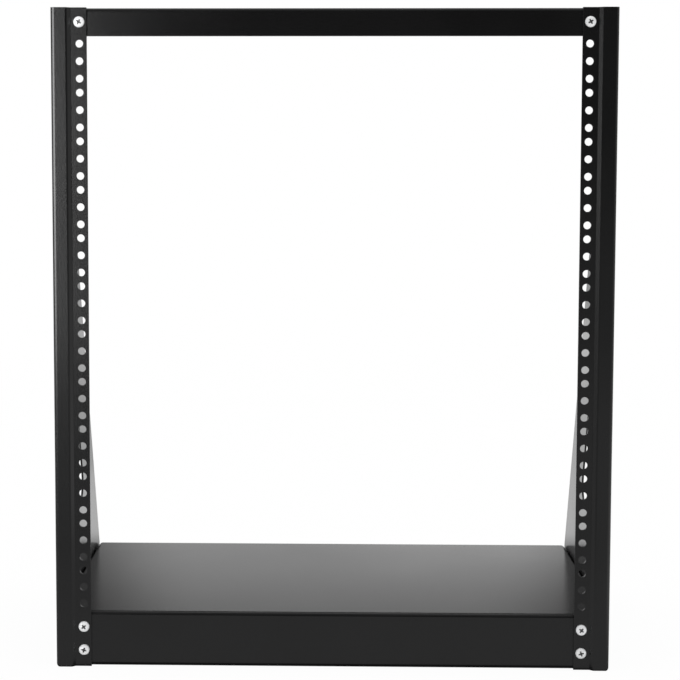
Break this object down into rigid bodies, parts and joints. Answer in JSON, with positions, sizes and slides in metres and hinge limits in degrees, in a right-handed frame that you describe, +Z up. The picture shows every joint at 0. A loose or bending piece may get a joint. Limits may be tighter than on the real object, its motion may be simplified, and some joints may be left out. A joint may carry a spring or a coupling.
{
  "type": "two post open frame rack",
  "caption": "Desktop open frame rack: two perforated uprights with tapering side plates, a top crossbar and a folded base deck.",
  "frame": {"origin": "centre of the footprint, on the floor", "axes": "+X to the right seen from the front, +Y to the rear, +Z up"},
  "size_m": [0.5172, 0.305, 0.6133],
  "materials": {
    "black_powder_coat": "fine-textured matt black powder coat on sheet steel",
    "bright_zinc_screws": "bright zinc plate on cross-recessed screws and their nuts"
  },
  "bodies": {
    "root": {"left_upright": "black_powder_coat", "right_upright": "black_powder_coat", "top_crossbar": "black_powder_coat", "base_deck": "black_powder_coat"}
  },
  "joints": []
}
